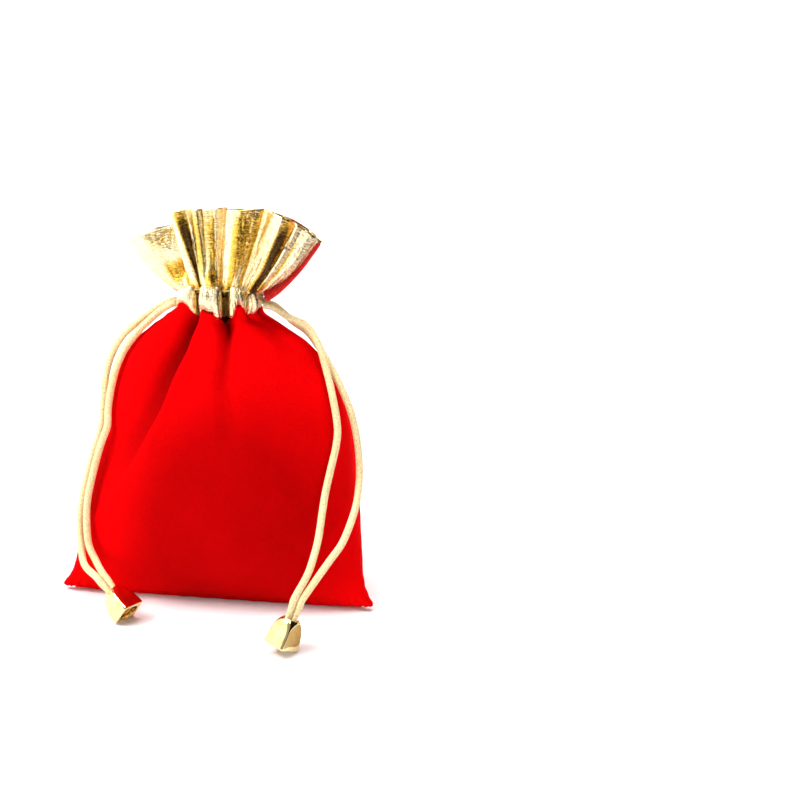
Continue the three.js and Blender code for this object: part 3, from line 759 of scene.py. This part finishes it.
# Top edge of the front header at every 10 degrees round the neck, without its pleats.
FRONT_EDGE = [
    (-27.8, 0, 111.5), (-24, -1.8, 113.8), (-18.4, -1.6, 115.4), (-12.6, -1.2, 117.1), (-8.3, -1.9, 118.8),
    (-9.6, -3.9, 120.6), (-12, -6.4, 122.3), (-7.8, -7, 123.7), (-3.4, -6.9, 124), (0.5, -6.9, 124),
    (4.6, -6.9, 124.2), (8.6, -6.9, 124.4), (12.9, -6.8, 124.5), (16.8, -6.4, 123.9), (21, -6, 122.5),
    (23.6, -4.2, 120.6), (26.5, -2.8, 118.1), (29.3, -1.7, 116), (31.3, 0, 113.8),
]
# Pleats of the header: place round the neck in degrees, and height outwards at the top edge.
FRONT_PLEATS = [
    (-90, 0), (-72, 0.5), (-54, -0.8), (-41, 0), (-32, 0.9), (-27, 1.1), (-19.5, -0.5), (-12.5, 1.7),
    (-8.5, -0.1), (-5, 0.1), (1, -0.8), (6, -2.4), (8, -2.2), (12.5, 1.3), (21.5, 1.9), (31, -0.6), (36, -2),
    (40, -1.7), (51.5, 1.9), (56.5, 1.2), (61.5, -1.4), (65, 0.6), (69, -0.4), (76, 0.6), (90, 0),
]
BACK_PLEATS = [
    (-90, 0), (-77, 1.9), (-65, -2.0), (-52, 2.8), (-38, -2.7), (-28, 2.3), (-13, -3.0), (-4, 2.0),
    (11, -3.0), (24, 3.1), (34, -2.1), (49, 3.0), (61, -2.7), (76, 1.8), (90, 0),
]
# Puffs low in the header: degrees, level, width in degrees, width in level, height.
FRONT_PUFFS = [
    (-4, 0.16, 9, 0.12, 2.0), (-58, 0.36, 9, 0.18, -2.2), (56, 0.14, 8, 0.12, 1.6), (30, 0.1, 7, 0.12, 0.8),
]
# Bands of painted shade and painted dark reflection, where the front header's foil turns gold or dark:
# degrees, level, width in degrees, width in level, strength and, for one that leans, its shift in degrees
# from the foot to the edge.
HEADER_PAINTED_BANDS = [
    (-80, 0.5, 13, 0.7, 0.17), (-65, 0.38, 8, 0.19, 0.46), (-46, 0.30, 9, 0.20, 0.72),
    (-60, 0.9, 14, 0.14, 0.22), (-4, 0.15, 6, 0.11, 0.34), (-21.6, 0.5, 3.2, 0.48, 1.15, -5.5),
    (-13.5, 0.6, 2.0, 0.42, 0.42), (-8, 0.75, 2.5, 0.30, 0.30), (-2.5, 0.58, 3.2, 0.42, 0.42),
    (8, 0.3, 1.6, 0.3, 0.45), (20, 0.5, 3.0, 0.5, 0.40), (26, 0.66, 5, 0.40, 0.45), (34, 0.5, 2.8, 0.5, 0.42),
    (56, 0.5, 4.2, 0.47, 1.2), (62.5, 0.45, 2.2, 0.42, 0.42), (70.5, 0.45, 1.6, 0.4, 0.6),
    (60, 0.12, 7, 0.13, 0.62),
]
BACK_PUFFS = [(-30, 0.14, 9, 0.13, 1.2), (24, 0.16, 9, 0.14, 1.3), (58, 0.3, 9, 0.2, -1.0)]
BACK_EDGE = [
    (-27.8, 0, 111.5), (-23.6, 2.4, 113.0), (-19, 1.6, 115.0), (-14.6, 3.4, 116.6), (-10.4, 2.6, 118.4),
    (-6, 4.8, 119.6), (-1.6, 3.6, 120.8), (3, 5.2, 120.6), (8, 3.6, 121.4), (13, 5.0, 120.6),
    (18, 3.2, 120.4), (23, 4.0, 118.2), (27.6, 1.8, 116.0), (31.3, 0, 113.8),
]


def ring(phi, front, a, b, grow, z):
    """Point at angle phi on the front or back half of an oval with half axes a and b, moved out by grow."""
    y = (-b if front else b) * np.cos(phi)
    phi, y, grow, z = np.broadcast_arrays(phi, y, grow, z)
    normal = unit(np.stack([np.sin(phi) / a, y / (b * b), np.zeros_like(y)], -1))
    return np.stack([a * np.sin(phi), y, z], -1) + normal * grow[..., None]


def band_edge(folds, phi):
    """Height of the channel's lower edge."""
    lift = FRONT_LIFT if folds is FRONT_FOLDS else BACK_LIFT
    level = BAND_SIDE_Z + (BAND_Z - BAND_SIDE_Z + 0.9) * np.cos(phi) - 0.5 * gather(folds, phi, 0)
    return level + steps(lift, np.degrees(phi))


def channel_top(phi):
    return CHANNEL_TOP - 2.6 * np.sin(phi) ** 6


def knuckle_top(folds, phi):
    """The stitched line rises over each knuckle and drops into the gathers."""
    return channel_top(phi) + 3.0 * (puff(folds, phi, PINCH) / 1.7 - 0.6) * np.cos(phi)


def make_channel(front):
    """Outer wall of the channel: tall knuckles over the cords, drawn deep between them."""
    folds = FRONT_FOLDS if front else BACK_FOLDS
    side, sign = side_of(front)
    phi, t = lattice(65, 261, 61)
    low = band_edge(folds, phi) + 0.8
    z = low + (knuckle_top(folds, phi) + CHANNEL_LAP - low) * t
    tight = PINCH + (1 - PINCH) * smooth(92.0 - z, 0, 2.5)
    fold = gather(folds, phi, 0, tight)
    swell = puff(folds, phi, tight) * (0.3 + 0.95 * np.sin(math.pi * t) ** 0.75)
    swell = swell - fold * (0.03 + 0.5 * smooth(91.4 - z, 0, 2.2))
    hem = np.where(phi > 0, 1.5 if front else 0.6, 0.3)  # the turned-in ends stand out by this much
    swell = swell + hem * bell((abs(np.degrees(phi)) - 61.5) / 2.8)
    grid = ring(phi, front, NECK_A, NECK_B, swell, z)
    crinkle = 0.34 * rough(np.stack([phi * 30, t * 1.1, t * 0], -1), 2.0, 5 + sign, 3)
    grid = grid + grid_normals(grid) * -sign * (crinkle * np.sin(math.pi * t) ** 0.5)[..., None]
    name = side + "_channel"
    # painted shade: the lamé is coloured darker the deeper it is drawn into a gather
    painted_shade = 0.95 * np.clip(fold / 5, 0, 1) + 0 * t
    obj = cloth_sheet(name + "_lame", grid, LAME, -sign, LAME_LOOK, painted_shade)
    return finish(obj, "lame", "pouch", name)


def make_lining(front):
    """Inner wall of the channel, inside the cords. Its profile gives the distance outwards and the height."""
    profile = [
        (1.7, 0, 90.5), (0.6, 0, 91.1), (0, 0, 91.8), (0, 0, 94.2), (0, 0, 96.7), (0.5, 0, 97.3),
        (1.2, 0, 97.7),
    ]
    phi, t = lattice(90, 121, 31)
    p = curve(profile, t)
    a, b = LOOP_A - CORD_R - 0.95, LOOP_B - CORD_R - 0.95
    side, sign = side_of(front)
    grid = ring(phi, front, a, b, p[..., 0], p[..., 2]) + [0, sign * SEW_GAP, 0]
    name = side + "_channel_lining"
    obj = cloth_sheet(name + "_lame", grid, LAME, -sign, LAME_LOOK, 0 * t)
    return finish(obj, "lame", "pouch", name)


def header_point(front, phi, t):
    """The header fans out from the stitched line: pleats, puffs low down and a turned-back left wing."""
    edge, folds = (FRONT_EDGE, FRONT_FOLDS) if front else (BACK_EDGE, BACK_FOLDS)
    pleats, puffs = (FRONT_PLEATS, FRONT_PUFFS) if front else (BACK_PLEATS, BACK_PUFFS)
    deg = np.degrees(phi)
    top = curve(edge, phi / math.pi + 0.5)
    low = np.maximum(knuckle_top(folds, phi) - 0.6, LOOP_HIGH + CORD_R)
    foot = ring(phi, front, NECK_A, NECK_B - 0.3, -0.5 * np.cos(phi), low)
    p = foot + (top - foot) * (t ** 0.85)[..., None]
    p[..., 2] = foot[..., 2] + (top[..., 2] - foot[..., 2]) * t
    p[..., 2] -= 2.2 * np.sin(phi) ** 8 * np.sin(math.pi * t)  # the side edges sag
    drift = 0 if front else 2.5 * np.sin(3 * t + deg / 17)  # the back's pleats wander
    at_foot = 0.4 if front else 0.75
    out = steps(pleats, deg + drift, 0.6) * (at_foot + (1 - at_foot) * t)
    out = out - 0.15 * gather(folds, phi, 0) * bell(t / 0.3)
    for at, level, wide, tall, height in puffs:
        out = out + height * bell((deg - at) / wide) * bell((t - level) / tall)
    if front:
        turn = 0.98 - 0.42 * smooth(deg, -86, -50)  # level above which the left wing turns back
        out = out - 5.5 * np.maximum(0, t - turn) * smooth(-deg, 44, 52)
    else:
        p[..., 2] -= 0.36 * out * t  # a pleat that stands out also drops
    p[..., 1] += side_of(front)[1] * (SEW_GAP + out * smooth(90 - abs(deg), 0, 12))
    return p


def make_header(front):
    """The header of one side, with fine crinkles and the painted shade and painted reflections that colour
    its foil.
    """
    phi, t = lattice(90, 561 if front else 421, 131)
    deg = np.degrees(phi)
    grid = header_point(front, phi, t)
    side, sign = side_of(front)
    fan = np.stack([deg * 0.5, t * 9, t * 0], -1)
    hatch = np.stack([deg * 0.45, t * 27, t * 0], -1)
    crinkle = 0.32 * rough(fan, 3.4, 2 + sign, 3) + 0.05 * rough(hatch, 1.1, 12 + sign, 2)
    crinkle = crinkle * smooth(t, 0, 0.2) * smooth(90 - abs(deg), 0, 6)
    grid = grid + grid_normals(grid) * -sign * crinkle[..., None]
    name = side + "_header"
    # painted shade: darker foil at the foot of each gather and in the pleats' valleys, and painted dark
    # reflections and gold in the listed bands
    painted_shade = gather(FRONT_FOLDS if front else BACK_FOLDS, phi, 0) / 9 * bell(t / 0.16)
    painted_shade = painted_shade + 0.25 * np.clip(-steps(FRONT_PLEATS if front else BACK_PLEATS, deg) / 2.5, 0, 1)
    for at, level, wide, tall, depth, *lean in HEADER_PAINTED_BANDS if front else ():
        off = (deg - at - sum(lean) * (t - level)) / wide
        painted_shade = painted_shade + depth * np.exp(-off ** 4 - ((t - level) / tall) ** 4)
    obj = cloth_sheet(name + "_lame", grid, LAME, -sign, LAME_LOOK, painted_shade)
    return finish(obj, "lame", "pouch", name)


# ---- sewing ------------------------------------------------------------------------------


def stitch_row(path, pitch, share, radius):
    """Separate stitches along a line: short threads that taper at both ends."""
    rings = 12  # points of the path in one pitch
    path = even(path, pitch / rings)
    parts = []
    for first in range(0, (len(path) - 1) // rings * rings, rings):
        piece = path[first: first + int(rings * share) + 1]
        u = np.linspace(-1, 1, len(piece))
        parts.append(tube_mesh(piece, (radius * np.sqrt(1.02 - u ** 4))[:, None], 10))
    return parts


def body_stitch_path(places):
    """Line halfway between the two panels, through places given as degrees and levels."""
    points = []
    for deg, s in places:
        phi, level = np.array(math.radians(deg)), np.array(s)
        a = body_point(FRONT_MID, FRONT_FOLDS, phi, level)
        b = body_point(BACK_MID, BACK_FOLDS, phi, level)
        b[2] = max(b[2], VELVET)
        points.append((a + b) / 2)
    return curve(points, np.linspace(0, 1, 600))


def make_body_stitches():
    rows = {
        "left_side_stitching": [(-77, s) for s in np.linspace(0.14, 0.82, 13)],
        "right_side_stitching": [(77, s) for s in np.linspace(0.14, 0.82, 13)],
        "bottom_stitching": [(d, 0.035) for d in np.linspace(-74, 74, 15)],
    }
    for name, places in rows.items():
        obj = joined(name + "_thread", stitch_row(body_stitch_path(places), 2.6, 0.8, 0.28), THREAD_LOOK)
        finish(obj, "sewing_thread", "pouch", name)


def make_channel_stitches(front):
    """Gold stitches in the angle where the channel laps over the foot of the header."""
    side, sign = side_of(front)
    phi = np.radians(np.linspace(-62, 62, 400))
    path = header_point(front, phi, np.full(400, 0.09)) + [0, sign * 0.85, 0]
    name = side + "_channel_stitching"
    obj = joined(name + "_thread", stitch_row(path, 1.7, 0.8, 0.2), GOLD_THREAD_LOOK)
    return finish(obj, "gold_thread", "pouch", name)


def make_overlock(side):
    """Overlock along a header wing's lower edge, thickest at the right neck: thread wound round the seam."""
    sign = -1 if side == "left" else 1
    step, pitch = 0.06, 0.62
    t = np.linspace(0.12, 0.97, 500)
    foot = np.array([sign * NECK_A, 0, channel_top(math.pi / 2) - 0.6])
    tip = np.array(FRONT_EDGE[0] if sign < 0 else FRONT_EDGE[-1])
    line = foot + (tip - foot) * (t ** 0.85)[:, None]
    line[:, 2] = foot[2] + (tip[2] - foot[2]) * t - 2.2 * np.sin(math.pi * t)
    line += [0.3, 1.3, 0.7] if sign < 0 else [-0.1, -0.9, 0.15]  # clear of the header's cloth
    line = even(line, step)
    across, up = frames(line)
    along = np.arange(len(line)) * step
    thick = 0.35 if sign < 0 else (0.5 + 0.8 * bell(along / 7))[:, None]
    turns = along / pitch * 2 * math.pi
    wound = line + (thick + 0.12) * (across * np.cos(turns)[:, None] + up * np.sin(turns)[:, None])
    parts = [tube_mesh(wound, 0.2, 8), tube_mesh(line, thick, 14)]
    obj = joined(side + "_wing_overlock_thread", parts, THREAD_LOOK)
    finish(obj, "sewing_thread", "pouch", side + "_wing_overlock")


def make_cloth(front):
    """The cloths of one side and the stitches of its channel."""
    head, channel, lining = make_header(front), make_channel(front), make_lining(front)
    stitches = make_channel_stitches(front)
    panel = make_panel(front)


make_cloth(front=True)
make_cloth(front=False)
make_body_stitches()
make_overlock("left")
make_overlock("right")


# ---- studio ------------------------------------------------------------------------------


def studio_mesh(name, points, faces, look):
    """A plain mesh, in metres, linked to the scene."""
    mesh = bpy.data.meshes.new(name)
    mesh.from_pydata(points, [], faces)
    mesh.materials.append(look)
    obj = bpy.data.objects.new(name, mesh)
    bpy.context.scene.collection.objects.link(obj)
    return obj


def aim(obj, place, target, axis):
    """Put an object at a place, with one of its axes towards the target."""
    obj.location = place
    obj.rotation_mode = "QUATERNION"
    obj.rotation_quaternion = (Vector(target) - Vector(place)).to_track_quat(axis, "Y")


def rectangle(width, height):
    """Corners of a rectangle about the origin, in the XY plane."""
    w, h = width / 2, height / 2
    return [(-w, -h, 0), (w, -h, 0), (w, h, 0), (-w, h, 0)]


def make_floor():
    """Matt white table that turns into a lit white sweep away from the pouch."""
    n = Nodes("floor_white")
    far = n.add("ShaderNodeVectorMath", {0: n.coords((1, 1, 0))}, operation="LENGTH").outputs["Value"]
    glow = n.ramp(far, (0.24, (0, 0, 0)), (0.70, (1, 1, 1)))
    n.set(
        Base_Color=(0.93, 0.93, 0.93, 1), Roughness=0.75, Specular_IOR_Level=0.2,
        Emission_Color=glow, Emission_Strength=0.75,
    )
    obj = studio_mesh("floor", rectangle(16, 16), [(0, 1, 2, 3)], n.material)


def make_backdrop():
    """White wall all round, which only the camera sees."""
    radius, height, sides = 7, 8, 64
    turn = np.linspace(0, 2 * math.pi, sides + 1)[:-1]
    low = np.stack([radius * np.cos(turn), radius * np.sin(turn), 0 * turn], -1)
    points = np.vstack([low, low + [0, 0, height]]).tolist()
    k = np.arange(sides)
    after = (k + 1) % sides
    faces = np.stack([k, k + sides, after + sides, after], -1).tolist()
    n = Nodes("backdrop_white")
    n.set(Base_Color=(0, 0, 0, 1), Specular_IOR_Level=0.0, Emission_Color=(1, 1, 1, 1), Emission_Strength=1.0)
    obj = studio_mesh("backdrop", points, faces, n.material)
    obj.visible_glossy = obj.visible_diffuse = obj.visible_shadow = False


def add_light(name, place, target, size, power, mirrored=True):
    """A round area light, seen in reflections if mirrored."""
    data = bpy.data.lights.new(name, "AREA")
    data.shape, data.size, data.energy = "DISK", size, power
    light = bpy.data.objects.new(name, data)
    aim(light, place, target, "-Z")
    light.visible_glossy = mirrored
    bpy.context.scene.collection.objects.link(light)


def add_card(name, place, target, width, height, colour, glow=0.0):
    """A card that only reflections see, as a photographer stands beside shiny things."""
    n = Nodes(name + "_paper")
    n.set(
        Base_Color=(*colour, 1), Roughness=0.9, Specular_IOR_Level=0.0,
        Emission_Color=(*colour, 1), Emission_Strength=glow,
    )
    obj = studio_mesh(name, rectangle(width, height), [(0, 1, 2, 3)], n.material)
    aim(obj, place, target, "Z")
    obj.visible_camera = obj.visible_diffuse = obj.visible_shadow = False


def make_world():
    """Soft white surroundings, brighter to the left and overhead and darker to the right."""
    world = bpy.data.worlds.new("studio")
    bpy.context.scene.world = world
    world.use_nodes = True
    tree = world.node_tree
    background = tree.nodes["Background"]
    direction = tree.nodes.new("ShaderNodeTexCoord").outputs["Generated"]
    lean = tree.nodes.new("ShaderNodeVectorMath")
    lean.operation = "DOT_PRODUCT"
    tree.links.new(direction, lean.inputs[0])
    lean.inputs[1].default_value = (-0.5, -0.2, 0.84)
    ramp = tree.nodes.new("ShaderNodeValToRGB")
    ramp.color_ramp.elements[0].position = 0.0
    ramp.color_ramp.elements[0].color = (0.10, 0.10, 0.10, 1)
    ramp.color_ramp.elements[1].position = 0.8
    ramp.color_ramp.elements[1].color = (0.9, 0.9, 0.9, 1)
    tree.links.new(lean.outputs["Value"], ramp.inputs[0])
    tree.links.new(ramp.outputs[0], background.inputs["Color"])
    background.inputs["Strength"].default_value = 0.5


make_floor()
make_backdrop()
make_world()
add_light("key", (-0.65, -0.25, 1.0), (0, 0, 0.05), 0.5, 12)
add_light("overhead", (0.08, 0.12, 1.2), (0, 0, 0.05), 0.8, 15)
add_light("fill_left", (-0.7, -0.35, 0.25), (-0.03, 0, 0.05), 0.4, 1.7, mirrored=False)
add_light("fill_right", (0.6, -0.5, 0.3), (0.03, 0, 0.06), 0.4, 1.2, mirrored=False)
add_card("card_dark", (0.104, -0.04, 0.11), (0, 0.0, 0.11), 0.15, 0.22, (0.012, 0.010, 0.007))
add_card("card_floor", (0.055, -0.036, 0.0006), (0.055, -0.036, 1), 0.04, 0.04, (0.40, 0.34, 0.24))
add_card("card_red", (0.10, 0.10, 0.08), (0, 0.0, 0.10), 0.12, 0.16, (0.55, 0.01, 0.01), 0.3)
add_card("card_white", (-0.34, -0.05, 0.20), (0, 0, 0.10), 0.55, 0.36, (0.9, 0.9, 0.88), 0.52)
bpy.context.scene.view_settings.view_transform = "Standard"
